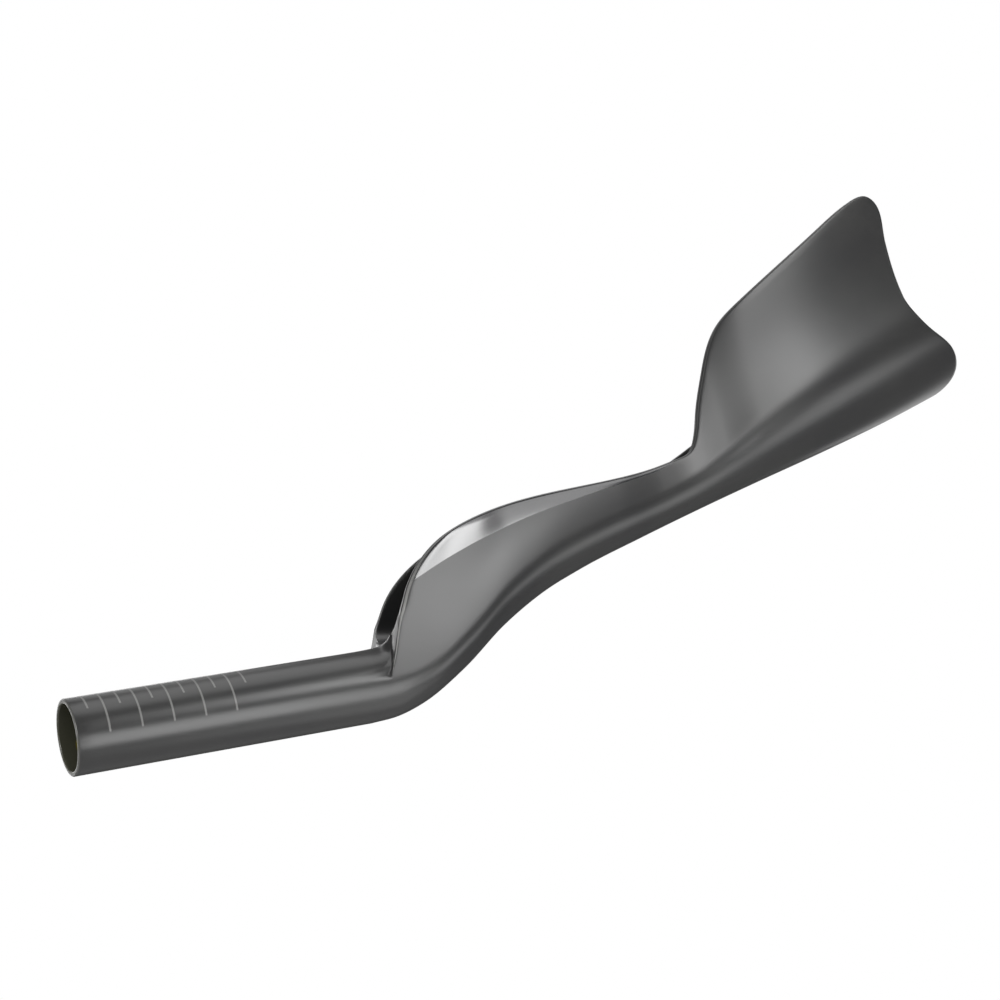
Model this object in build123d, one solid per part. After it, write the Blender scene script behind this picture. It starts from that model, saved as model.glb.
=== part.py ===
from build123d import *
from math import cos, pi, radians, sin, sqrt, tan
import os

# Aero handlebar extension: one hollow carbon moulding, in millimetres.
# A round clamp tube swings up into a channelled neck, which opens into a wide scoop with one high side.
# The origin is the centre of the open tube end. X runs along the tube towards the scoop,
# -Y is the side of the scoop's high wall, and Z is up, the way the channel opens.

# Clamp tube
tube_diameter = 22.2
tube_wall = 1.5
tube_length = 96.6
tube_edge_bevel = 0.4

# Lip at the channel's mouth, which leans back from the top of the tube
lip_lean = 21.0
crest_rise = 1.3

# Length between the end of the clamp length and the foot of the lip
lip_clearance = 6.34

# Saddle that fairs the top of the tube into the mouth: (distance before the lip, rise above the tube),
# how far its sides stay inside the tube's, and how deep it is rooted in the tube
saddle_rise = [(6.5, -0.6), (4.5, -0.45), (2.8, -0.1), (1.3, 0.4), (0.0, crest_rise)]
saddle_edge = 1.0
saddle_root = 10.2

# Shell of the channel and the scoop
shell_wall = 2.2

# Closed hollow, which carries on from the tube's bore under the channel floor
hollow_roof = 1.8
hollow_length = 92.0

# Guides along the body, each a list of (distance from the body's start, size).
# Heights are above the underside line, and widths are from the middle plane.
underside_rise = [(0, 0), (9, 0.75), (17, 3.0), (33, 11.2), (50, 22.6), (67, 31.5), (84, 37.8), (109, 45.1),
                  (136, 52.5), (163, 59.5), (192, 66.8), (222, 74.8), (263.5, 87.5), (290, 96.0)]
section_lean = [(0, lip_lean), (40, 14.0), (80, 6.0), (120, 0.0), (290, 0.0)]
belly_swell = [(0, 0), (18, 0.6), (60, 0.5), (98, -0.6), (118, -1.1), (130, -0.1), (143, 3.2), (158, 8.4),
               (178, 14.5), (208, 20.5), (238, 24.0), (290, 27.0)]
belly_height = [(0, 11.1), (18, 11.8), (38, 13.6), (68, 13.4), (98, 12.0), (118, 11.4), (130, 12.5),
                (143, 16.0), (158, 21.0), (178, 26.0), (208, 30.0), (238, 32.0), (290, 34.0)]
high_top_width = [(0, 10.0), (38, 8.4), (68, 8.0), (98, 8.2), (118, 8.8), (130, 11.0), (143, 17.0), (158, 25.0),
                  (178, 33.0), (208, 43.0), (238, 49.0), (290, 54.0)]
high_top_height = [(0, 57.0), (38, 52.0), (68, 42.0), (98, 40.0), (118, 43.0), (130, 50.0), (143, 60.0),
                   (158, 70.0), (178, 80.0), (208, 92.0), (238, 96.0), (290, 98.0)]
low_top_width = [(0, 10.0), (38, 8.4), (68, 8.0), (98, 8.2), (118, 8.8), (130, 10.6), (143, 15.5), (158, 22.0),
                 (178, 29.0), (208, 37.0), (238, 42.0), (290, 46.0)]
low_top_height = [(0, 57.0), (38, 52.0), (68, 42.0), (98, 40.0), (118, 40.0), (130, 42.0), (143, 46.0),
                  (158, 51.0), (178, 57.0), (208, 63.0), (238, 66.0), (290, 68.0)]
floor_depth = [(0, tube_diameter + crest_rise), (38, 16.0), (68, 11.0), (108, 6.0), (138, 3.2),
               (163, shell_wall), (290, shell_wall)]
channel_rise = [(0, 20.0), (38, 14.0), (68, 8.0), (98, 2.0), (130, 0.0), (290, 0.0)]
hollow_width = [(0, tube_diameter / 2 - tube_wall), (18, 9.4), (38, 8.5), (68, 7.0), (98, 4.6), (120, 3.0)]
section_reaches = [0, 9, 20, 34, 50, 70, 92, 112, 126, 140, 156, 178, 208, 238, 262]
hollow_stations = 5

# Arcs in each quarter of the body's ovals, and how far each end of a wall's curve holds its direction
quarter_arcs = 3
foot_share = 0.4
crest_share = 0.35

# Rims and end edge in side view, as (X beyond the tube, Z)
high_rim = [(5.2, 15.0), (7.8, 19.6), (11.0, 25.6), (26.9, 41.1), (35.0, 44.7), (113.0, 55.7), (121.2, 57.5),
            (125.3, 58.9), (128.2, 62.8), (131.5, 72.6), (135.7, 84.2), (144.3, 100.8), (152.1, 106.9),
            (185.1, 127.7), (198.2, 135.3), (205.1, 136.7), (209.4, 133.4), (211.3, 124.6), (212.8, 110.4),
            (216.6, 97.3), (223.3, 89.0), (233.4, 83.2)]
low_rim = [(5.2, 15.0), (7.9, 19.8), (11.4, 25.6), (28.6, 39.7), (36.0, 43.0), (58.0, 49.8), (73.1, 51.6),
           (104.7, 54.4), (113.0, 55.7), (144.3, 67.3), (196.0, 88.5), (210.0, 93.0), (219.0, 93.5), (233.4, 83.2)]
end_edge = [(233.4, 83.2), (241.3, 77.9), (244.8, 74.2), (245.6, 70.0), (245.6, 50.0)]
lip_slope = (0.5, 0.87)
end_slope = (1.0, -0.6)

# Room that the cutting bodies need around the part, and what counts as lying at the tube's open end
clear_above = 3.0
clear_around = 120.0
at_end = 0.01

tube_radius = tube_diameter / 2
bore_radius = tube_radius - tube_wall
body_start = tube_length - tube_radius * tan(radians(lip_lean))
clamp_length = body_start - lip_clearance


def along(guide, reach):
    """The guide's value at a reach, on a smooth curve through its points."""
    reaches = [point[0] for point in guide]
    values = [point[1] for point in guide]
    steps = [b - a for a, b in zip(reaches, reaches[1:])]
    rates = [(b - a) / step for a, b, step in zip(values, values[1:], steps)]
    slopes = [rates[0]]
    for i in range(1, len(rates)):
        slopes.append((rates[i - 1] * steps[i] + rates[i] * steps[i - 1]) / (steps[i] + steps[i - 1]))
    slopes.append(rates[-1])
    i = 0
    while i < len(steps) - 1 and reach > reaches[i + 1]:
        i += 1
    t = (reach - reaches[i]) / steps[i]
    between = values[i] * (1 + 2 * t) * (1 - t) ** 2 + values[i + 1] * t * t * (3 - 2 * t)
    return between + steps[i] * t * (1 - t) * (slopes[i] * (1 - t) - slopes[i + 1] * t)


def place(reach, width, height):
    """A point of the section at a reach: width along Y, and height up the section's leaning plane."""
    slant = tan(radians(along(section_lean, reach)))
    underside = along(underside_rise, reach) - tube_radius
    return Vector(body_start + reach + height * slant, width, underside + height)


def quarter(start, corner, end, arcs):
    """A quarter of an oval that leaves its start and reaches its end square to its axes, as a run of exact arcs."""
    out = corner - start
    up = end - corner
    step = pi / 2 / arcs
    edges = []
    for i in range(arcs):
        first = start + out * sin(i * step) + up * (1 - cos(i * step))
        last = start + out * sin((i + 1) * step) + up * (1 - cos((i + 1) * step))
        middle = first + (out * cos(i * step) + up * sin(i * step)) * tan(step / 2)
        edges.append(Edge.make_bezier(first, middle, last, weights=[1, cos(step / 2), 1]))
    return edges


def side_wall(reach, base, belly, top):
    """One side of a section: a quarter oval from the base out to the belly, then the wall up to its top."""
    foot = place(reach, *belly)
    rise = place(reach, belly[0], belly[1] + foot_share * (top[1] - belly[1]))
    crest = place(reach, *top)
    lead = crest - (crest - foot) * crest_share
    bottom = quarter(place(reach, 0, base), place(reach, belly[0], base), foot, quarter_arcs)
    return bottom + [Edge.make_bezier(foot, rise, lead, crest)]


def section(reach, base, inset, lift, clearance):
    """A closed section at a reach, its sides moved in by the inset and their bellies up by the lift."""
    belly_width = tube_radius + along(belly_swell, reach) - inset
    belly_z = along(belly_height, reach) + lift
    high_top = (inset - along(high_top_width, reach), along(high_top_height, reach) + clearance)
    low_top = (along(low_top_width, reach) - inset, along(low_top_height, reach) + clearance)
    high_side = side_wall(reach, base, (-belly_width, belly_z), high_top)
    low_side = side_wall(reach, base, (belly_width, belly_z), low_top)
    bridge = Edge.make_line(place(reach, *high_top), place(reach, *low_top))
    return Wire(high_side + [bridge] + low_side[::-1])


def outer_section(reach):
    return section(reach, 0, 0, 0, 0)


def channel_section(reach):
    return section(reach, along(floor_depth, reach), shell_wall, along(channel_rise, reach), clear_above)


def oval(spot, width, low, high):
    """A closed oval of four arcs, with spot giving the place of a (width, height)."""
    middle = (low + high) / 2
    bottom = spot(0, low)
    top = spot(0, high)
    edges = []
    for side in (-width, width):
        waist = spot(side, middle)
        edges.append(Edge.make_bezier(bottom, spot(side, low), waist, weights=[1, sqrt(0.5), 1]))
        edges.append(Edge.make_bezier(waist, spot(side, high), top, weights=[1, sqrt(0.5), 1]))
    return Wire(edges)


def tube_section(start, lean, inset):
    """A section of the tube, moved in by the inset, in a plane that leans back from the underside at start."""
    slant = tan(radians(lean))

    def spot(width, height):
        return Vector(start + height * slant, width, height - tube_radius)

    return oval(spot, tube_radius - inset, inset, tube_diameter - inset)


def hollow_section(reach):
    """The oval of the closed hollow, which stays a wall above the underside and a roof below the channel."""

    def spot(width, height):
        return place(reach, width, height)

    return oval(spot, along(hollow_width, reach), tube_wall, along(floor_depth, reach) - hollow_roof)


def side_view(points):
    """Points of a side-view outline, in the middle plane."""
    return [Vector(tube_length + x, 0, z) for x, z in points]


def rim_cutter(side, rim):
    """What lies above a side's rim and past the end edge, seen from the side."""
    rise = Vector(lip_slope[0], 0, lip_slope[1])
    turn = Vector(end_slope[0], 0, end_slope[1])
    trim = Spline(side_view(rim), tangents=[rise, turn])
    edge = Spline(side_view(end_edge), tangents=[turn, (0, 0, -1)])
    start = trim @ 0
    heel = edge @ 1
    far_x = heel.X + clear_around
    top_z = start.Z + 2 * clear_around
    outside = Polyline(heel, Vector(far_x, 0, heel.Z), Vector(far_x, 0, top_z), Vector(start.X, 0, top_z), start)
    face = Face(Wire([trim, edge] + outside.edges()))
    return Solid.extrude(face, Vector(0, side * clear_around, 0))


def make_shell():
    """The channel and the scoop, up to their rims."""
    outside = Solid.make_loft([outer_section(reach) for reach in section_reaches])
    inside = Solid.make_loft([channel_section(reach) for reach in section_reaches])
    shell = outside - inside
    shell = shell - rim_cutter(-1, high_rim)
    return shell - rim_cutter(1, low_rim)


def make_tube():
    """The round clamp tube, and the end of it that runs on to the leaning lip."""
    tube = Solid.make_cylinder(tube_radius, clamp_length, Plane((0, 0, 0), z_dir=(1, 0, 0)))
    tube = chamfer(tube.edges().filter_by_position(Axis.X, -at_end, at_end), tube_edge_bevel)
    clamp_end = tube_section(clamp_length, 0, 0)
    collar = Solid.make_loft([clamp_end, tube_section(body_start, lip_lean, 0)], ruled=True)
    return tube + collar


def saddle_section(distance, rise):
    """A section of the saddle in a plane that leans with the lip: a flat root, and a crown that rises from it.

    The crown's curve comes three quarters of the way up to the corners that it leans towards."""
    slant = tan(radians(lip_lean))
    half = tube_radius - saddle_edge
    root = tube_diameter - saddle_root
    corner = root + (saddle_root + rise) / 0.75

    def spot(width, height):
        return Vector(body_start - distance + height * slant, width, height - tube_radius)

    crown = Edge.make_bezier(spot(-half, root), spot(-half, corner), spot(half, corner), spot(half, root))
    return Wire([crown, Edge.make_line(spot(half, root), spot(-half, root))])


def make_saddle():
    return Solid.make_loft([saddle_section(distance, rise) for distance, rise in saddle_rise])


def make_hollow():
    """The tube's bore and the tapering hollow that carries on from it."""
    before_end = Plane((-clear_above, 0, 0), z_dir=(1, 0, 0))
    bore = Solid.make_cylinder(bore_radius, clear_above + clamp_length, before_end)
    flare_radius = bore_radius + tube_edge_bevel
    flare = Solid.make_cone(flare_radius, bore_radius, tube_edge_bevel, Plane((0, 0, 0), z_dir=(1, 0, 0)))
    reaches = [hollow_length * i / (hollow_stations - 1) for i in range(hollow_stations)]
    bore_end = tube_section(clamp_length, 0, tube_wall)
    return bore + flare + Solid.make_loft([bore_end] + [hollow_section(reach) for reach in reaches], ruled=True)


def make_extension():
    body = make_shell() + make_tube() + make_saddle()
    return body - make_hollow()


extension = make_extension()
print("solids", len(extension.solids()), "volume", round(extension.volume))
os.makedirs("parts", exist_ok=True)
export_step(extension, "parts/bar_extension.step")
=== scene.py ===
import bmesh
import bpy
import math
import numpy as np
from mathutils import Matrix, Vector


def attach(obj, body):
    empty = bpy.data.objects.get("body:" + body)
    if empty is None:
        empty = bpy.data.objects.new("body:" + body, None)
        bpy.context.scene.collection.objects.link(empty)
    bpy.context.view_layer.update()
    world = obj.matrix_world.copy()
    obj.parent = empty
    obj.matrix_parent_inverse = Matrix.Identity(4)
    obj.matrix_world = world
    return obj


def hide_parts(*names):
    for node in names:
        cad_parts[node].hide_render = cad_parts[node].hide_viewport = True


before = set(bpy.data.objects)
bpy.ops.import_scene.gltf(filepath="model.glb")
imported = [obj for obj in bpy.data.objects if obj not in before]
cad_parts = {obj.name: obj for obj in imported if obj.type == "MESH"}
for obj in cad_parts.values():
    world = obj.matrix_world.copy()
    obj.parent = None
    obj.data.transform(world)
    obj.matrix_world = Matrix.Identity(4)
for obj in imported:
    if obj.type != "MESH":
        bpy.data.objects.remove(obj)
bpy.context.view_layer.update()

# Moulded extension
# One hollow carbon moulding: a round tube that swings up into an open channel and then into a scoop.
# It is laid up in a split mould, and its rims are trimmed and rounded by hand after it is cured.

# Sizes in mm, and the lean of the lip in degrees
MM = 0.001
TUBE_RADIUS = 11.1
TUBE_WALL = 1.5
TUBE_ROUND = 0.4
TUBE_LENGTH = 96.6
SHELL_WALL = 2.2
LIP_LEAN = 21.0
LIP_SLANT = math.tan(math.radians(LIP_LEAN))
RIM_ROUND = 0.9
BODY_START = TUBE_LENGTH - TUBE_RADIUS * LIP_SLANT
LIP_CLEARANCE = 6.34
CLAMP_LENGTH = BODY_START - LIP_CLEARANCE
CREST_RISE = 1.3

# Guides along the body, each a list of (distance from the body's start, size).
# Heights are above the underside line, widths from the middle plane, and -1 is the side of the high wall.
UNDERSIDE_RISE = [(0, 0), (9, 0.75), (17, 3.0), (33, 11.2), (50, 22.6), (67, 31.5), (84, 37.8),
                  (109, 45.1), (136, 52.5), (163, 59.5), (192, 66.8), (222, 74.8), (263.5, 87.5),
                  (290, 96.0)]
SECTION_LEAN = [(0, LIP_LEAN), (40, 14.0), (80, 6.0), (120, 0.0), (290, 0.0)]
BELLY_SWELL = [(0, 0), (18, 0.6), (60, 0.5), (98, -0.6), (118, -1.1), (130, -0.1), (143, 3.2), (158, 8.4),
               (178, 14.5), (208, 20.5), (238, 24.0), (290, 27.0)]
BELLY_HEIGHT = [(0, TUBE_RADIUS), (18, 11.8), (38, 13.6), (68, 13.4), (98, 12.0), (118, 11.4),
                (130, 12.5), (143, 16.0), (158, 21.0), (178, 26.0), (208, 30.0), (238, 32.0), (290, 34.0)]
TOP_WIDTH = {-1: [(0, 10.0), (38, 8.4), (68, 8.0), (98, 8.2), (118, 8.8), (130, 11.0), (143, 17.0),
                  (158, 25.0), (178, 33.0), (208, 43.0), (238, 49.0), (290, 54.0)],
             1: [(0, 10.0), (38, 8.4), (68, 8.0), (98, 8.2), (118, 8.8), (130, 10.6), (143, 15.5),
                 (158, 22.0), (178, 29.0), (208, 37.0), (238, 42.0), (290, 46.0)]}
TOP_HEIGHT = {-1: [(0, 57.0), (38, 52.0), (68, 42.0), (98, 40.0), (118, 43.0), (130, 50.0), (143, 60.0),
                   (158, 70.0), (178, 80.0), (208, 92.0), (238, 96.0), (290, 98.0)],
              1: [(0, 57.0), (38, 52.0), (68, 42.0), (98, 40.0), (118, 40.0), (130, 42.0), (143, 46.0),
                  (158, 51.0), (178, 57.0), (208, 63.0), (238, 66.0), (290, 68.0)]}
FLOOR_DEPTH = [(0, 2 * TUBE_RADIUS + CREST_RISE), (38, 16.0), (68, 11.0), (108, 6.0), (138, 3.2),
               (163, SHELL_WALL), (290, SHELL_WALL)]
CHANNEL_RISE = [(0, 20.0), (38, 14.0), (68, 8.0), (98, 2.0), (130, 0.0), (290, 0.0)]

# Rims and end edge in side view, as (x beyond the tube, z)
RIM = {-1: [(5.2, 15.0), (7.8, 19.6), (11.0, 25.6), (26.9, 41.1), (35.0, 44.7), (113.0, 55.7),
            (121.2, 57.5), (125.3, 58.9), (128.2, 62.8), (131.5, 72.6), (135.7, 84.2), (144.3, 100.8),
            (152.1, 106.9), (185.1, 127.7), (198.2, 135.3), (205.1, 136.7), (209.4, 133.4),
            (211.3, 124.6), (212.8, 110.4), (216.6, 97.3), (223.3, 89.0), (233.4, 83.2)],
       1: [(5.2, 15.0), (7.9, 19.8), (11.4, 25.6), (28.6, 39.7), (36.0, 43.0), (58.0, 49.8), (73.1, 51.6),
           (104.7, 54.4), (113.0, 55.7), (144.3, 67.3), (196.0, 88.5), (210.0, 93.0), (219.0, 93.5),
           (233.4, 83.2)]}
END_EDGE = [(233.4, 83.2), (241.3, 77.9), (244.8, 74.2), (245.6, 70.0), (245.6, 50.0)]


def along(guide, reach):
    """The guide's values at an array of reaches, on a smooth curve through its points."""
    reaches = np.array([point[0] for point in guide], float)
    values = np.array([point[1] for point in guide], float)
    steps = np.diff(reaches)
    rates = np.diff(values) / steps
    inner = (rates[:-1] * steps[1:] + rates[1:] * steps[:-1]) / (steps[:-1] + steps[1:])
    slopes = np.concatenate([rates[:1], inner, rates[-1:]])
    i = np.clip(np.searchsorted(reaches, reach, side="right") - 1, 0, len(steps) - 1)
    t = (reach - reaches[i]) / steps[i]
    between = values[i] * (1 + 2 * t) * (1 - t) ** 2 + values[i + 1] * t * t * (3 - 2 * t)
    return between + steps[i] * t * (1 - t) * (slopes[i] * (1 - t) - slopes[i + 1] * t)


# The s at which a section's wall leaves its belly, the weight of a quarter oval's corner, how far each end
# of the wall's curve holds its direction, and how far the inner wall goes on above the outer one's top, so
# that the rim cuts both
WAIST = 0.5
ARC_WEIGHT = math.sqrt(0.5)
FOOT_SHARE = 0.4
CREST_SHARE = 0.35
CLEAR_ABOVE = 3.0


def section_point(reach, s, side, inside):
    """Width and height of a section's wall at s, from 0 at the middle of the floor to 1 at its top."""
    inset = SHELL_WALL if inside else 0.0
    base = along(FLOOR_DEPTH, reach) if inside else 0.0 * reach
    belly = TUBE_RADIUS + along(BELLY_SWELL, reach) - inset
    waist = along(BELLY_HEIGHT, reach) + (along(CHANNEL_RISE, reach) if inside else 0.0)
    top = along(TOP_WIDTH[side], reach) - inset
    high = along(TOP_HEIGHT[side], reach) + (CLEAR_ABOVE if inside else 0.0)
    t = np.clip(s / WAIST, 0, 1)
    a, b, c = (1 - t) ** 2, 2 * t * (1 - t) * ARC_WEIGHT, t * t
    low_w = (b + c) * belly / (a + b + c)
    low_h = ((a + b) * base + c * waist) / (a + b + c)
    t = np.maximum(s / WAIST - 1, 0)
    a, b, c, d = (1 - t) ** 3, 3 * t * (1 - t) ** 2, 3 * t * t * (1 - t), t ** 3
    foot = waist + FOOT_SHARE * (high - waist)
    crest = high - (high - waist) * CREST_SHARE
    high_w = (a + b) * belly + c * (top - (top - belly) * CREST_SHARE) + d * top
    high_h = a * waist + b * foot + c * crest + d * high
    return side * np.where(s <= WAIST, low_w, high_w), np.where(s <= WAIST, low_h, high_h)


def surface(reach, s, side, inside):
    """Points of the outer or inner wall in mm, at arrays of reach and s."""
    width, height = section_point(reach, s, side, inside)
    slant = np.tan(np.radians(along(SECTION_LEAN, reach)))
    x = BODY_START + reach + height * slant
    z = along(UNDERSIDE_RISE, reach) - TUBE_RADIUS + height
    return np.stack([x, width, z], axis=-1)


# The furthest reach and the highest s that are looked at, and how often the range is halved
LAST_REACH = 280.0
LAST_S = 1.15
HALVINGS = 40


def on_wall(x, z, side, inside):
    """The (reach, s) at which the wall has each side-view place (x, z), by halving."""
    low, high = np.zeros_like(x), np.full_like(x, LAST_REACH)
    for _ in range(HALVINGS):
        reach = (low + high) / 2
        slant = np.tan(np.radians(along(SECTION_LEAN, reach)))
        past = BODY_START + reach + (z - along(UNDERSIDE_RISE, reach) + TUBE_RADIUS) * slant > x
        high = np.where(past, reach, high)
        low = np.where(past, low, reach)
    height = z - along(UNDERSIDE_RISE, reach) + TUBE_RADIUS
    low, high = np.zeros_like(x), np.full_like(x, LAST_S)
    for _ in range(HALVINGS):
        s = (low + high) / 2
        past = section_point(reach, s, side, inside)[1] > height
        high = np.where(past, s, high)
        low = np.where(past, low, s)
    return reach, s


# Places at which a curve is worked out before it is spaced evenly
CURVE_PLACES = 4000


def smooth_line(points, step):
    """Evenly spaced places on the smoothest curve through the points, which starts and ends straight."""
    points = np.array(points, float)
    steps = np.linalg.norm(np.diff(points, axis=0), axis=1)
    rates = np.diff(points, axis=0) / steps[:, None]
    balance = np.eye(len(points))
    wanted = np.concatenate([rates[:1], 0 * points[1:-1], rates[-1:]])
    for k in range(1, len(points) - 1):
        before, after = steps[k - 1], steps[k]
        balance[k, k - 1:k + 2] = after, 2 * (before + after), before
        wanted[k] = 3 * (after * rates[k - 1] + before * rates[k])
    slopes = np.linalg.solve(balance, wanted)
    chord = np.concatenate([[0], np.cumsum(steps)])
    fine = np.linspace(0, chord[-1], CURVE_PLACES)
    i = np.clip(np.searchsorted(chord, fine, side="right") - 1, 0, len(steps) - 1)
    t = ((fine - chord[i]) / steps[i])[:, None]
    line = points[i] * (1 + 2 * t) * (1 - t) ** 2 + points[i + 1] * t * t * (3 - 2 * t)
    line += steps[i][:, None] * t * (1 - t) * (slopes[i] * (1 - t) - slopes[i + 1] * t)
    length = np.concatenate([[0], np.cumsum(np.linalg.norm(np.diff(line, axis=0), axis=1))])
    even = np.linspace(0, length[-1], max(2, round(length[-1] / step)))
    return np.stack([np.interp(even, length, line[:, k]) for k in range(line.shape[1])], axis=1)


def spaced(line, count):
    """A polyline of points redrawn as count steps of equal length."""
    length = np.concatenate([[0], np.cumsum(np.linalg.norm(np.diff(line, axis=0), axis=1))])
    even = np.linspace(0, length[-1], count + 1)
    return np.interp(even, length, np.arange(len(line)))


# The lip at the channel's mouth: its straight lower part, as (x beyond the tube, z), how far along the trim
# it fades into the plain rim, and its rounding, as (distance along the trim, size)
MOUTH_LIP = [(0.0, 0.0), (5 * LIP_SLANT, 5.0), (10 * LIP_SLANT, 10.0)]
LIP_FADE = 26.0
LIP_ROUND = [(0, 0.0), (4, 0.8), (10, 1.5), (18, 2.8), (30, 3.3), (42, 2.6), (54, RIM_ROUND),
             (66, RIM_ROUND), (500, RIM_ROUND)]

# The crest, where the channel's floor ends at the mouth: how far along the trim it meets the inner wall,
# its rounding, and how far along the trim that grows to the rim's
CREST_START = 15.0
CREST_EASE = 0.55
CREST_FADE = 60.0
CREST_ROUND = RIM_ROUND * CREST_EASE

# Mesh steps along the rim, up a wall, across the rim's face, along the saddle and round an edge, then
# mm between places on the trim, places on lines that are redrawn, and the s that counts as the floor
RIM_STEPS, WALL_STEPS, FACE_STEPS, SADDLE_STEPS, ROUND_STEPS = 230, 34, 5, 12, 4
TRIM_STEP = 0.1
FINE_PLACES, COARSE_PLACES = 161, 40
AT_FLOOR = 1e-6


class Trim:
    """The side view of one side's trim: up the mouth's lip, along the rim and down the end edge."""

    def __init__(self, side):
        path = smooth_line(MOUTH_LIP + RIM[side] + END_EDGE[1:], TRIM_STEP)
        path[:, 0] += TUBE_LENGTH
        turn = np.gradient(path, axis=0)
        turn /= np.linalg.norm(turn, axis=1)[:, None]
        self.side, self.path = side, path
        self.normal = np.stack([turn[:, 1], -turn[:, 0]], axis=1)
        self.length = np.arange(len(path)) * np.linalg.norm(path[1] - path[0])
        corner = np.array(END_EDGE[0]) + [TUBE_LENGTH, 0]
        self.corner = self.length[np.argmin(np.linalg.norm(path - corner, axis=1))]

    def spots(self, lengths, inset, inside):
        """(reach, s) of the trim's places, moved into the wall by the inset."""
        x, z, nx, nz = (np.interp(lengths, self.length, v) for v in (*self.path.T, *self.normal.T))
        return on_wall(x + nx * inset, z + nz * inset, self.side, inside)

    def end(self, inset, inside):
        """The length at which the end edge reaches the middle of the floor."""
        tail = self.length[self.length > self.corner]
        reach, s = self.spots(tail, inset, inside)
        return tail[np.argmax(s < AT_FLOOR)] if (s < AT_FLOOR).any() else tail[-1]

    def end_edge(self, inset, inside):
        """(reach, s) down the end edge, from its corner to the middle of the floor."""
        lengths = np.linspace(self.corner, self.end(inset, inside), WALL_STEPS + 1)
        reach, s = self.spots(lengths, inset, inside)
        s[-1] = 0.0
        return reach, s

    def whole(self, lengths, inside):
        """(reach, s) of the trim at lengths along the rim, and on down the end edge."""
        last = np.linspace(self.corner, self.end(0, inside), WALL_STEPS + 1)[1:]
        reach, s = self.spots(np.concatenate([lengths, last]), 0, inside)
        s[-1] = 0.0
        return reach, s


# Where the nets' lines meet the middle of the floor, as (share of the rim's length, reach)
FLOOR_SPREAD = [(0.12, 24), (0.42, 122), (0.75, 205)]


def floor_line(start, end, share):
    """(reach, s) along the middle of the floor, at shares of the rim's length."""
    reach = along([(0, start)] + FLOOR_SPREAD + [(1, end)], share)
    return reach, 0 * reach


def wall_grid(trim, rim, edge, floor, mouth, inside):
    """A net of points over one side of a wall, from floor to rim and from mouth to end edge."""
    u = np.linspace(0, 1, RIM_STEPS + 1)[:, None, None]
    v = np.linspace(0, 1, FINE_PLACES)[None, :, None]
    rim, edge, floor, mouth = (np.stack(pair, axis=-1) for pair in (rim, edge, floor, mouth))

    def fine(line):
        place = np.linspace(0, len(line) - 1, FINE_PLACES)
        return np.stack([np.interp(place, np.arange(len(line)), line[:, k]) for k in range(2)], axis=1)

    net = (1 - v) * floor[:, None] + v * rim[:, None]
    net = net + (1 - u) * fine(mouth) + u * fine(edge[::-1])
    net = net - (1 - u) * (1 - v) * floor[0] - u * (1 - v) * floor[-1]
    net = net - (1 - u) * v * rim[0] - u * v * rim[-1]
    rows = []
    for column in net:
        line = surface(column[:, 0], column[:, 1], trim.side, inside)
        place = spaced(line, WALL_STEPS)
        reach, s = (np.interp(place, np.arange(len(column)), column[:, k]) for k in range(2))
        rows.append(surface(reach, s, trim.side, inside))
    return np.array(rows)


def rounded(start, corner, end, steps):
    """Rows of points round a corner from a start line to an end line."""
    rows = []
    for t in np.linspace(0, 1, steps + 1):
        rows.append((1 - t) ** 2 * start + 2 * t * (1 - t) * corner + t * t * end)
    return np.array(rows)


# The gloss band: its lower edge in side view, as (x beyond the tube, z), the x beyond the tube at which it
# ends, and the cosines that turn a distance up or along into one square to these edges
NO_GLOSS = -9.0
GLOSS_FOOT = [(0, 23.0), (15, 29.0), (26, 33.6), (44, 39.9), (60, 44.2), (80, 48.2), (100, 51.8),
              (115, 55.0), (124, 58.5)]
GLOSS_END = 122.0
FOOT_COSINE, END_COSINE = 0.93, 0.8


def gloss_depth(points):
    """How far places of the outer wall lie inside the band of clear gloss under the rim, in mm."""
    x, z = points[..., 0] - TUBE_LENGTH, points[..., 2]
    foot = along(GLOSS_FOOT, np.clip(x, 0, GLOSS_FOOT[-1][0]))
    return np.minimum(FOOT_COSINE * (z - foot), END_COSINE * (GLOSS_END - x))


# The rim's face: the greatest share of the rim's width that each edge's rounding takes, how far each
# rounding reaches in rim roundings, how far along the trim the outer one grows, and how far the middle
# of the lip's face is drawn up and outward, which makes it hollow
EDGE_SHARE = 0.45
OUTER_REACH, INNER_REACH = 0.8, 0.6
OUTER_GROWTH = 5.0
LIP_DRAWN_UP, LIP_DRAWN_OUT = 2.2, 1.9


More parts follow.
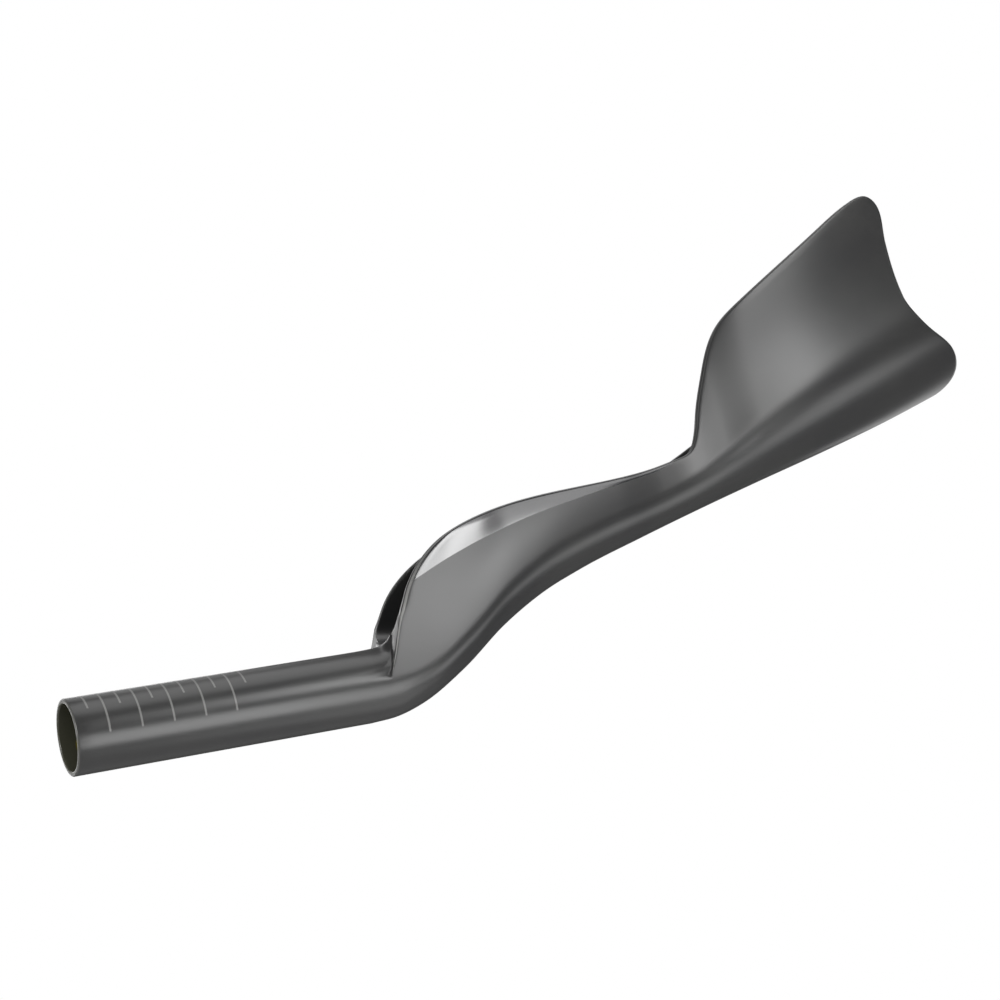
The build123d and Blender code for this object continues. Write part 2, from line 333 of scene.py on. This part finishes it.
def shell_side(side):
    """One side of the shell: its nets, and the edges that the tube's nets join."""
    trim = Trim(side)
    lengths = np.linspace(0, trim.corner, RIM_STEPS + 1)
    share = lengths / trim.corner
    lip_share = np.clip(1 - lengths / LIP_FADE, 0, 1)

    # outer wall
    rim = trim.spots(lengths, along(LIP_ROUND, lengths), False)
    rim[0][0], rim[1][0] = 0.0, WAIST
    edge = trim.end_edge(RIM_ROUND, False)
    keel = floor_line(0, edge[0][-1], share)
    mouth = (np.zeros(COARSE_PLACES), np.linspace(0, WAIST, COARSE_PLACES))
    outer = wall_grid(trim, rim, edge, keel, mouth, False)
    outer_start = np.concatenate([outer[:, -1], outer[-1, -2::-1]])
    reach, s = trim.whole(lengths, False)
    reach[0], s[0] = 0.0, WAIST
    outer_edge = surface(reach, s, side, False)

    # inner wall
    inner_lengths = lengths + CREST_START * lip_share
    rim = trim.spots(inner_lengths, RIM_ROUND * np.clip(CREST_EASE + lengths / CREST_FADE, 0, 1), True)
    edge = trim.end_edge(RIM_ROUND, True)
    floor = floor_line(CREST_ROUND, edge[0][-1], share)
    crest = (np.linspace(CREST_ROUND, rim[0][0], COARSE_PLACES), np.linspace(0, rim[1][0], COARSE_PLACES))
    inner = wall_grid(trim, rim, edge, floor, crest, True)
    inner_end = np.concatenate([inner[:, -1], inner[-1, -2::-1]])
    reach, s = trim.whole(inner_lengths, True)
    inner_edge = surface(reach, s, side, True)

    # crest, where the floor's edge crosses the mouth
    fine = np.linspace(0, s[0], FINE_PLACES)
    place = spaced(surface(0 * fine, fine, side, True), WALL_STEPS)
    even = np.interp(place, np.arange(FINE_PLACES), fine)
    crest_edge = surface(0 * even, even, side, True)
    crest_edge[-1] = inner_edge[0]

    # face of the rim, between its two rounded edges
    across = inner_edge - outer_edge
    width = np.linalg.norm(across, axis=1)[:, None]
    step = np.minimum(EDGE_SHARE, RIM_ROUND * OUTER_REACH / width)
    step[:RIM_STEPS + 1] *= np.clip(lengths / OUTER_GROWTH, 0, 1)[:, None]
    face_start = outer_edge + across * step
    face_end = inner_edge - across * np.minimum(EDGE_SHARE, RIM_ROUND * INNER_REACH / width)
    fade = np.zeros((len(width), 1))
    fade[:RIM_STEPS + 1, 0] = lip_share
    drawn = np.array([LIP_DRAWN_UP * LIP_SLANT, LIP_DRAWN_OUT * side, LIP_DRAWN_UP]) * fade
    middle = (face_start + face_end) / 2 + drawn
    face = rounded(face_start, middle, face_end, FACE_STEPS)
    outer_round = rounded(outer_start, outer_edge, face_start, ROUND_STEPS)
    inner_round = rounded(face_end, inner_edge, inner_end, ROUND_STEPS)

    turn = np.linspace(0, 1, ROUND_STEPS + 1)[:, None]
    nets = [(outer, 0.0, gloss_depth(outer)), (inner, 0.0, NO_GLOSS),
            (outer_round, turn, gloss_depth(outer_round)), (face, 1.0, NO_GLOSS),
            (inner_round, 1 - turn, NO_GLOSS)]
    return nets, outer, inner, face, crest_edge


def tube_ring(x, angles, radius=TUBE_RADIUS):
    """Points of a round section of the tube, at angles up from the middle of its underside."""
    return np.stack([0 * angles + x, radius * np.sin(angles), -radius * np.cos(angles)], axis=-1)


# The saddle's curves: how far below the crest they end, what share of the way they run on along the tube,
# how they turn up to the lip from its foot and level out towards the crest, and how long that turn is
CREST_SINK = 0.12
SADDLE_LEAD = 0.93
LIP_TURN = 3.2
CREST_TURN, CREST_CURVE = 0.25, 1.5
TURN_SHARE, TURN_LEAST, TURN_MOST = 0.9, 0.3, 5.0


def saddle(side, face, crest_edge, inner):
    """The tube's top as it rises to the mouth, from its clamp length to the lip and the crest."""
    count = FACE_STEPS + WALL_STEPS
    ends = np.concatenate([face[:, 0], crest_edge[-2::-1] - [CREST_ROUND, 0, CREST_SINK]])
    share = np.linspace(0, 1, count + 1)
    angles = side * (math.pi / 2 + math.pi / 2 * share)
    start = tube_ring(CLAMP_LENGTH, angles)
    reach = ends[:, 0] - start[:, 0]
    up_lip = np.clip(share * count / FACE_STEPS, 0, 1)
    past_lip = np.clip((share * count - FACE_STEPS) / WALL_STEPS, 0, 1)
    at_crest = CREST_TURN + (1 - CREST_TURN) * (1 - past_lip) ** CREST_CURVE
    rise = np.where(up_lip < 1, np.clip(up_lip * LIP_TURN, 0, 1), at_crest)
    up = np.stack([1 - rise + rise * LIP_SLANT, 0 * rise, rise * (share > 0)], axis=1)
    up /= np.linalg.norm(up, axis=1)[:, None]
    climb = np.linalg.norm((ends - start)[:, 1:], axis=1)
    lead = start + np.stack([reach * SADDLE_LEAD, 0 * reach, 0 * reach], axis=1)
    tail = ends - up * np.minimum(TURN_SHARE * climb + TURN_LEAST, TURN_MOST)[:, None]
    rows = []
    coarse = np.linspace(0, 0.5, SADDLE_STEPS // 3, endpoint=False)
    for t in np.concatenate([coarse, np.linspace(0.5, 1, SADDLE_STEPS)]):
        a, b, c, d = (1 - t) ** 3, 3 * t * (1 - t) ** 2, 3 * t * t * (1 - t), t ** 3
        rows.append(a * start + b * lead + c * tail + d * ends)
    over = rounded(ends[FACE_STEPS:], crest_edge[::-1], inner[0, ::-1], ROUND_STEPS)
    return np.array(rows), over, angles


# Where rings of points lie along the tube's skin and its bore, and how many round each edge of its open end
SKIN_RINGS = np.linspace(70, 5, 10)
BORE_RINGS = np.linspace(5, CLAMP_LENGTH, 12)
EDGE_RINGS = 5


def tube_side(side, outer, angles, waist_x):
    """One side of the tube: its skin, its rounded end, its bore, and the hollow that carries on from it."""
    low = side * np.linspace(0, math.pi / 2, WALL_STEPS + 1)
    start = tube_ring(CLAMP_LENGTH, low)
    share = (waist_x - waist_x[0]) / (waist_x[-1] - waist_x[0])
    lower = start + (outer[0] - start) * share[:, None, None]
    around = np.concatenate([low, angles[1:]])
    bore = TUBE_RADIUS - TUBE_WALL
    turns = [k * math.pi / (2 * EDGE_RINGS) for k in range(EDGE_RINGS + 1)]
    stops = [(x, TUBE_RADIUS) for x in (CLAMP_LENGTH, *SKIN_RINGS)]
    stops += [(TUBE_ROUND * (1 - math.sin(turn)), TUBE_RADIUS - TUBE_ROUND * (1 - math.cos(turn)))
              for turn in turns]
    stops += [(TUBE_ROUND * (1 - math.cos(turn)), bore + TUBE_ROUND * (1 - math.sin(turn)))
              for turn in turns]
    stops += [(x, bore) for x in BORE_RINGS]
    rings = [tube_ring(x, around, radius) for x, radius in stops] + hollow_rings(around)
    return [(lower, 0.0, NO_GLOSS), (np.array(rings), 0.0, NO_GLOSS)]


# The closed hollow under the channel's floor: its length, the roof over it, its half width and its rings
HOLLOW_LENGTH = 92.0
HOLLOW_ROOF = 1.8
HOLLOW_WIDTH = [(0, TUBE_RADIUS - TUBE_WALL), (18, 9.4), (38, 8.5), (68, 7.0), (98, 4.6), (120, 3.0)]
HOLLOW_RINGS = 13


def hollow_rings(around):
    """Rings of the tapering hollow that carries on from the bore, and its closed end."""
    rings = []
    for reach in np.linspace(0, HOLLOW_LENGTH, HOLLOW_RINGS):
        low, high = TUBE_WALL, along(FLOOR_DEPTH, reach) - HOLLOW_ROOF
        height = (low + high) / 2 - (high - low) / 2 * np.cos(around)
        x = BODY_START + reach + height * math.tan(math.radians(along(SECTION_LEAN, reach)))
        width = along(HOLLOW_WIDTH, reach) * np.sin(around)
        rings.append(np.stack([x, width, along(UNDERSIDE_RISE, reach) - TUBE_RADIUS + height], axis=-1))
    middle = (rings[-1][0] + rings[-1][-1]) / 2 * [1, 0, 1]
    return rings + [0 * rings[-1] + middle]


# Points this near each other are made one, and faces narrower than a sliver are closed up
SEAM = 0.02 * MM
SLIVER = 0.001 * MM


def make_shell():
    """The whole moulding as one closed mesh, whose points know how far they lie in the gloss band and in
    the trimmed edge."""
    nets = []
    for side in (-1, 1):
        walls, outer, inner, face, crest_edge = shell_side(side)
        rows, over, angles = saddle(side, face, crest_edge, inner)
        nets += walls + [(rows, 0.0, NO_GLOSS), (over, 0.0, NO_GLOSS)]
        nets += tube_side(side, outer, angles, rows[:, 0, 0])
    points, faces, gloss, trimmed = [], [], [], []
    for net, trim, band in nets:
        rows, columns = net.shape[:2]
        first = sum(len(p) for p in points)
        points.append(net.reshape(-1, 3) * MM)
        trimmed.append(np.broadcast_to(trim, (rows, columns)).ravel())
        gloss.append(np.broadcast_to(band, (rows, columns)).ravel())
        at = first + np.arange(rows * columns).reshape(rows, columns)
        quads = np.stack([at[:-1, :-1], at[1:, :-1], at[1:, 1:], at[:-1, 1:]], axis=-1)
        faces += quads.reshape(-1, 4).tolist()
    mesh = bpy.data.meshes.new("moulded_extension")
    mesh.from_pydata(np.concatenate(points).tolist(), [], faces)
    for name, values in (("gloss", gloss), ("trimmed", trimmed)):
        mesh.attributes.new(name, "FLOAT", "POINT").data.foreach_set("value", np.concatenate(values))
    build = bmesh.new()
    build.from_mesh(mesh)
    bmesh.ops.remove_doubles(build, verts=build.verts, dist=SEAM)
    bmesh.ops.dissolve_degenerate(build, edges=build.edges, dist=SLIVER)
    bmesh.ops.recalc_face_normals(build, faces=build.faces)
    build.to_mesh(mesh)
    open_edges = sum(1 for edge in build.edges if len(edge.link_faces) != 2)
    print("moulding faces", len(build.faces), "open edges", open_edges)
    build.free()
    mesh.polygons.foreach_set("use_smooth", [True] * len(mesh.polygons))
    mesh.update()
    return mesh


extension = bpy.data.objects.new("moulded_extension", make_shell())
bpy.context.scene.collection.objects.link(extension)
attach(extension, "root")
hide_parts("bar_extension")


class Sock:
    """A socket of a finish that can be used in sums."""

    def __init__(self, finish, out):
        self.finish, self.out = finish, out

    def math(self, operation, *others):
        values = dict(enumerate((self, *others)))
        return self.finish.node("ShaderNodeMath", {"operation": operation}, values)

    def __add__(self, other):
        return self.math("ADD", other)

    def __radd__(self, other):
        return self.math("ADD", other)

    def __sub__(self, other):
        return self.math("SUBTRACT", other)

    def __rsub__(self, other):
        return (self * -1).math("ADD", other)

    def __mul__(self, other):
        return self.math("MULTIPLY", other)

    def __rmul__(self, other):
        return self.math("MULTIPLY", other)


class Finish:
    """A material or a world whose nodes are being made."""

    def __init__(self, owner):
        owner.use_nodes = True
        self.tree = owner.node_tree

    def node(self, kind, settings, values, out=0):
        """Adds a node with its settings and its sockets' values or links, and wraps one of its outputs."""
        made = self.tree.nodes.new(kind)
        for name, value in settings.items():
            setattr(made, name, value)
        self.feed(made, values)
        return Sock(self, made.outputs[out])

    def feed(self, made, values):
        """Links a node's sockets to what feeds them, or sets them where the value is a plain one."""
        for name, value in values.items():
            if isinstance(value, Sock):
                self.tree.links.new(value.out, made.inputs[name])
            else:
                made.inputs[name].default_value = value

    def rising(self, value, low, high):
        """A smooth step that goes from 0 to 1 as the value goes from low to high."""
        ends = {"Value": value, "From Min": low, "From Max": high}
        return self.node("ShaderNodeMapRange", {"interpolation_type": "SMOOTHSTEP"}, ends)

    def blended(self, share, first, second):
        """A colour that goes from the first to the second as the share goes from 0 to 1."""
        return self.node("ShaderNodeMix", {"data_type": "RGBA"}, {0: share, 6: first, 7: second}, 2)

    def noise(self, place, scale, detail):
        return self.node("ShaderNodeTexNoise", {}, {"Vector": place, "Scale": scale, "Detail": detail})

    def attribute(self, name):
        return self.node("ShaderNodeAttribute", {"attribute_name": name}, {}, "Fac")


# Depth marks: spacing, number, half thickness and its soft edge in mm, reach down from the top in degrees
# of each kind and its soft end, and how well the print covers
MARK_SPACING = 4.7
MARKS = 11
MARK_HALF, MARK_SOFT = 0.28, 0.08
MARK_LONG, MARK_SHORT, MARK_END = 99.0, 57.0, 1.5
MARK_COVER = 0.75

# Colours
SATIN = (0.029, 0.029, 0.030, 1)
SATIN_CLOUDED = (0.038, 0.038, 0.037, 1)
GLOSS_BLACK = (0.022, 0.022, 0.025, 1)
# The trimmed rim faces: a darker colour that is painted shade, standing in for the dark look of the rim
PAINTED_EDGE_SHADE = (0.024, 0.024, 0.025, 1)
SAWN_END = (0.14, 0.14, 0.13, 1)
PRINT_GREY = (0.30, 0.30, 0.29, 1)
# A painted highlight: a light line along the rims' rounded edges, strongest at the channel's mouth, where
# the rounding catches light
PAINTED_EDGE_HIGHLIGHT = (0.30, 0.30, 0.29, 1)
BARE_RESIN = (0.090, 0.090, 0.062, 1)
RESIN_DRIP = (0.24, 0.20, 0.02, 1)

# The drip of resin in the bore, in mm: its middle, the y from which it shows, what its width and height are
# scaled by, its soft edge, and how far the clouds move that
DRIP_X, DRIP_Z, DRIP_Y = 5.3, -1.6, (4.0, 6.0)
DRIP_WIDE, DRIP_TALL = 1.5, 0.6
DRIP_EDGE, DRIP_WANDER = (1.9, 2.6), 2.4

# Where one finish gives way to the next, in mm: under the tube's skin, before the bore's end, at the sawn
# end, along the lip beyond the tube, where the painted highlight on the rim's edge fades, and across the
# edge of the gloss
SKIN_DEPTH = (1.0, 0.6)
BORE_FADE = 6.0
SAW_DEPTH = (0.12, 0.4)
HIGHLIGHT_LIP_REACH = (8.0, 24.0)
GLOSS_SOFT = 0.12

# The same in shares of the trimmed edge, for the edge's colour, which is painted shade, and for both sides
# of the painted highlight along its rounding; then the least strength of that highlight away from the lip
TRIM_SOFT = (0.1, 0.9)
HIGHLIGHT_FROM, HIGHLIGHT_TO = (0.4, 0.5), (0.68, 0.8)
HIGHLIGHT_LEAST = 0.2

# Scales of the satin's clouds, its fibres and the clear coat's peel, in waves a metre, how soft the clouds
# are, and what share of the satin's colour is theirs
CLOUD_SCALE = 38.0
FIBRE_SCALE = (60.0, 900.0, 900.0)
PEEL_SCALE = 900.0
CLOUD_SOFT = (0.35, 0.7)
CLOUD_SHARE, FIBRE_SHARE = 0.7, 0.3

# Roughness of the satin and the gloss, what each layer adds to it, and the shine of the resin
SATIN_ROUGH, GLOSS_ROUGH, COAT_ROUGH = 0.265, 0.12, 0.12
CLOUD_ROUGH, FIBRE_ROUGH, TRIM_ROUGH, MARK_ROUGH = 0.06, 0.03, 0.04, 0.12
RESIN_SHINE = 0.85

# Relief of each layer in units of the bump's depth, and the bump's strength and depth
PEEL_RELIEF, FIBRE_RELIEF, MARK_RELIEF, GLOSS_RELIEF = 0.6, 0.4, 1.2, 1.5
BUMP_STRENGTH, BUMP_DEPTH = 0.12, 0.02 * MM


def depth_marks(finish, x, around):
    """The printed rings that show how far the tube goes into its clamp, every other one longer."""
    count = (x * (1 / MARK_SPACING)).math("ROUND")
    off = (x - count * MARK_SPACING).math("ABSOLUTE")
    line = 1 - finish.rising(off, MARK_HALF - MARK_SOFT, MARK_HALF + MARK_SOFT)
    reach = MARK_LONG - count.math("FLOORED_MODULO", 2) * (MARK_LONG - MARK_SHORT)
    ring = 1 - finish.rising(around - reach, -MARK_END, MARK_END)
    first = finish.rising(count, 0.4, 0.6)
    last = 1 - finish.rising(count, MARKS + 0.4, MARKS + 0.6)
    return line * ring * first * last


def satin_carbon():
    """Satin laminate with a band of clear gloss, cut edges darkened with painted shade, a light line of
    painted highlight along their rounding, a bare bore and printed depth marks.
    """
    material = bpy.data.materials.new("satin_carbon")
    finish = Finish(material)
    place = finish.node("ShaderNodeTexCoord", {}, {}, "Object")
    millimetres = finish.node("ShaderNodeVectorMath", {"operation": "SCALE"}, {0: place, "Scale": 1 / MM})
    x, y, z = (finish.node("ShaderNodeSeparateXYZ", {}, {0: millimetres}, k) for k in range(3))
    around = y.math("ABSOLUTE").math("ARCTAN2", z) * math.degrees(1)
    radius = (y * y + z * z).math("SQRT")
    outside = finish.rising(radius, TUBE_RADIUS - SKIN_DEPTH[0], TUBE_RADIUS - SKIN_DEPTH[1])
    bore = (1 - outside) * (1 - finish.rising(x, CLAMP_LENGTH - BORE_FADE, CLAMP_LENGTH))
    sawn = (1 - finish.rising(x, *SAW_DEPTH)) * (1 - bore)
    gloss = finish.rising(finish.attribute("gloss"), -GLOSS_SOFT, GLOSS_SOFT)
    edge = finish.attribute("trimmed")
    trimmed = finish.rising(edge, *TRIM_SOFT)
    # Mask of the painted highlight along the rounded rim edges: full near the lip and weaker beyond it
    lip = 1 - finish.rising(x, TUBE_LENGTH + HIGHLIGHT_LIP_REACH[0], TUBE_LENGTH + HIGHLIGHT_LIP_REACH[1])
    painted_highlight = finish.rising(edge, *HIGHLIGHT_FROM) * (1 - finish.rising(edge, *HIGHLIGHT_TO))
    painted_highlight = painted_highlight * (lip * (1 - HIGHLIGHT_LEAST) + HIGHLIGHT_LEAST)
    gloss = gloss * (1 - trimmed)
    marks = depth_marks(finish, x, around) * outside
    clouds = finish.noise(place, CLOUD_SCALE, 4.0)
    stretched = finish.node("ShaderNodeVectorMath", {"operation": "MULTIPLY"}, {0: place, 1: FIBRE_SCALE})
    fibres = finish.noise(stretched, 1.0, 3.0)
    peel = finish.noise(place, PEEL_SCALE, 2.0)
    aside, below = (x - DRIP_X) * DRIP_WIDE, (z - DRIP_Z) * DRIP_TALL
    from_drip = (aside * aside + below * below).math("SQRT") + clouds * DRIP_WANDER
    drip = (1 - finish.rising(from_drip, *DRIP_EDGE)) * finish.rising(y, *DRIP_Y)

    clouded = finish.rising(clouds, *CLOUD_SOFT) * CLOUD_SHARE + fibres * FIBRE_SHARE
    colour = finish.blended(clouded, SATIN, SATIN_CLOUDED)
    colour = finish.blended(gloss, colour, GLOSS_BLACK)
    # Painted shade: the trimmed rim faces are darkened
    colour = finish.blended(trimmed, colour, PAINTED_EDGE_SHADE)
    # Painted highlight: a light line is laid along the rounded rim edges
    colour = finish.blended(painted_highlight, colour, PAINTED_EDGE_HIGHLIGHT)
    colour = finish.blended(bore, colour, finish.blended(drip, BARE_RESIN, RESIN_DRIP))
    colour = finish.blended(sawn, colour, SAWN_END)
    colour = finish.blended(marks * MARK_COVER, colour, PRINT_GREY)
    satin = clouds * CLOUD_ROUGH + fibres * FIBRE_ROUGH + SATIN_ROUGH
    rough = satin * (1 - gloss) + gloss * GLOSS_ROUGH + trimmed * TRIM_ROUGH + marks * MARK_ROUGH
    relief = peel * PEEL_RELIEF + fibres * FIBRE_RELIEF + marks * MARK_RELIEF + gloss * GLOSS_RELIEF
    depths = {"Strength": BUMP_STRENGTH, "Distance": BUMP_DEPTH, "Height": relief}
    bump = finish.node("ShaderNodeBump", {}, depths)
    shader = finish.tree.nodes["Principled BSDF"]
    finish.feed(shader, {"Base Color": colour, "Roughness": rough, "Coat Weight": gloss, "Normal": bump,
                         "Coat Roughness": COAT_ROUGH, "Specular IOR Level": RESIN_SHINE})
    return material


extension.data.materials.append(satin_carbon())

# Studio
# White paper lies well below the part. Soft panels stand in front: high, in the corner, low and on the
# right. Wide soft lamps are overhead, beside the tube's open end, behind, past the scoop's end, on the
# far side and below, and a weak even light comes from all around.

PAPER_LEVEL = -0.6
PAPER_HALF = 2.5
PAPER_DULL, PAPER_BRIGHT = (0.76, 0.76, 0.76, 1), (0.82, 0.82, 0.82, 1)
PAPER_GLOW = (0.87, 0.87, 0.87, 1)
PAPER_GRAIN = 300.0
PAPER_ROUGH = 0.9
DARK = (0, 0, 0, 1)
WHITE = (1, 1, 1, 1)
paper_mesh = bpy.data.meshes.new("studio_paper")
corners = [(x * PAPER_HALF, y * PAPER_HALF, PAPER_LEVEL) for x, y in ((-1, -1), (1, -1), (1, 1), (-1, 1))]
paper_mesh.from_pydata(corners, [], [(0, 1, 2, 3)])
paper = bpy.data.objects.new("studio_paper", paper_mesh)
bpy.context.scene.collection.objects.link(paper)


def white_paper():
    """Matt white paper with a glow, for the camera alone, that takes it to plain white."""
    material = bpy.data.materials.new("studio_paper")
    finish = Finish(material)
    seen = finish.node("ShaderNodeLightPath", {}, {}, "Is Camera Ray")
    grain = finish.noise(finish.node("ShaderNodeTexCoord", {}, {}, "Object"), PAPER_GRAIN, 3.0)
    colour = finish.blended(grain, PAPER_DULL, PAPER_BRIGHT)
    glow = finish.blended(seen, DARK, PAPER_GLOW)
    shader = finish.tree.nodes["Principled BSDF"]
    finish.feed(shader, {"Base Color": colour, "Roughness": PAPER_ROUGH, "Emission Color": glow,
                         "Emission Strength": 1.0})
    return material


paper_mesh.materials.append(white_paper())

# The world: plain white to the camera, and a weak even light on the part
AMBIENT = 0.11
world = bpy.data.worlds.new("studio_world")
bpy.context.scene.world = world
air = Finish(world)
background = air.tree.nodes["Background"]
seen = air.node("ShaderNodeLightPath", {}, {}, "Is Camera Ray")
air.feed(background, {"Color": WHITE, "Strength": seen * (1 - AMBIENT) + AMBIENT})

# Lamps face the middle of the part. Each has its place, width and height in metres, and its watts.
LAMP_AIM = Vector((0.17, 0.0, 0.05))


def soft_panel(name, place, width, height, watts):
    """A soft rectangular lamp that faces the middle of the part, its height upright."""
    lamp = bpy.data.lights.new(name, "AREA")
    lamp.shape = "RECTANGLE"
    lamp.size, lamp.size_y, lamp.energy = width, height, watts
    light = bpy.data.objects.new(name, lamp)
    light.location = place
    light.rotation_euler = (LAMP_AIM - Vector(place)).to_track_quat("-Z", "Y").to_euler()
    bpy.context.scene.collection.objects.link(light)


soft_panel("upper_panel", (0.32, -0.50, 0.17), 0.16, 0.22, 0.62)
soft_panel("corner_panel", (0.46, -0.50, 0.34), 0.20, 0.20, 0.24)
soft_panel("lower_panel", (0.23, -0.50, -0.27), 0.30, 0.36, 1.30)
soft_panel("low_right_lamp", (0.75, -0.50, -0.38), 0.35, 0.30, 0.65)
soft_panel("overhead_lamp", (0.30, -0.15, 0.80), 0.80, 0.60, 2.0)
soft_panel("left_lamp", (-0.75, -0.30, 0.18), 0.26, 0.30, 3.4)
soft_panel("back_lamp", (0.22, 0.55, 0.72), 0.40, 0.40, 0.35)
soft_panel("right_lamp", (1.00, 0.40, 0.10), 0.50, 0.50, 0.7)
soft_panel("far_side_lamp", (0.10, 0.90, 0.25), 0.60, 0.60, 2.4)
soft_panel("below_lamp", (0.35, -0.15, -0.45), 0.30, 0.30, 0.18)

# Camera
# A full-frame camera with a short telephoto lens, a little over half a metre from the tube's open end.
# It looks up at the part from beside and below the tube, and is rolled a little.

FOCAL_LENGTH, SENSOR_WIDTH = 68.4, 36
CAMERA_PLACE = Vector((-0.13731, -0.5307954, -0.0696263))
CAMERA_RIGHT = Vector((0.8761471, -0.4267666, -0.2241352))
CAMERA_DOWN = Vector((-0.1080430, 0.2792822, -0.9541111))
CAMERA_AHEAD = Vector((0.4697797, 0.8601580, 0.1985831))
lens = bpy.data.cameras.new("camera")
lens.lens, lens.sensor_width = FOCAL_LENGTH, SENSOR_WIDTH
camera = bpy.data.objects.new("camera", lens)
turn = Matrix((CAMERA_RIGHT, -CAMERA_DOWN, -CAMERA_AHEAD)).transposed().to_4x4()
camera.matrix_world = Matrix.Translation(CAMERA_PLACE) @ turn
bpy.context.scene.collection.objects.link(camera)
bpy.context.scene.camera = camera
bpy.context.scene.view_settings.view_transform = "Standard"
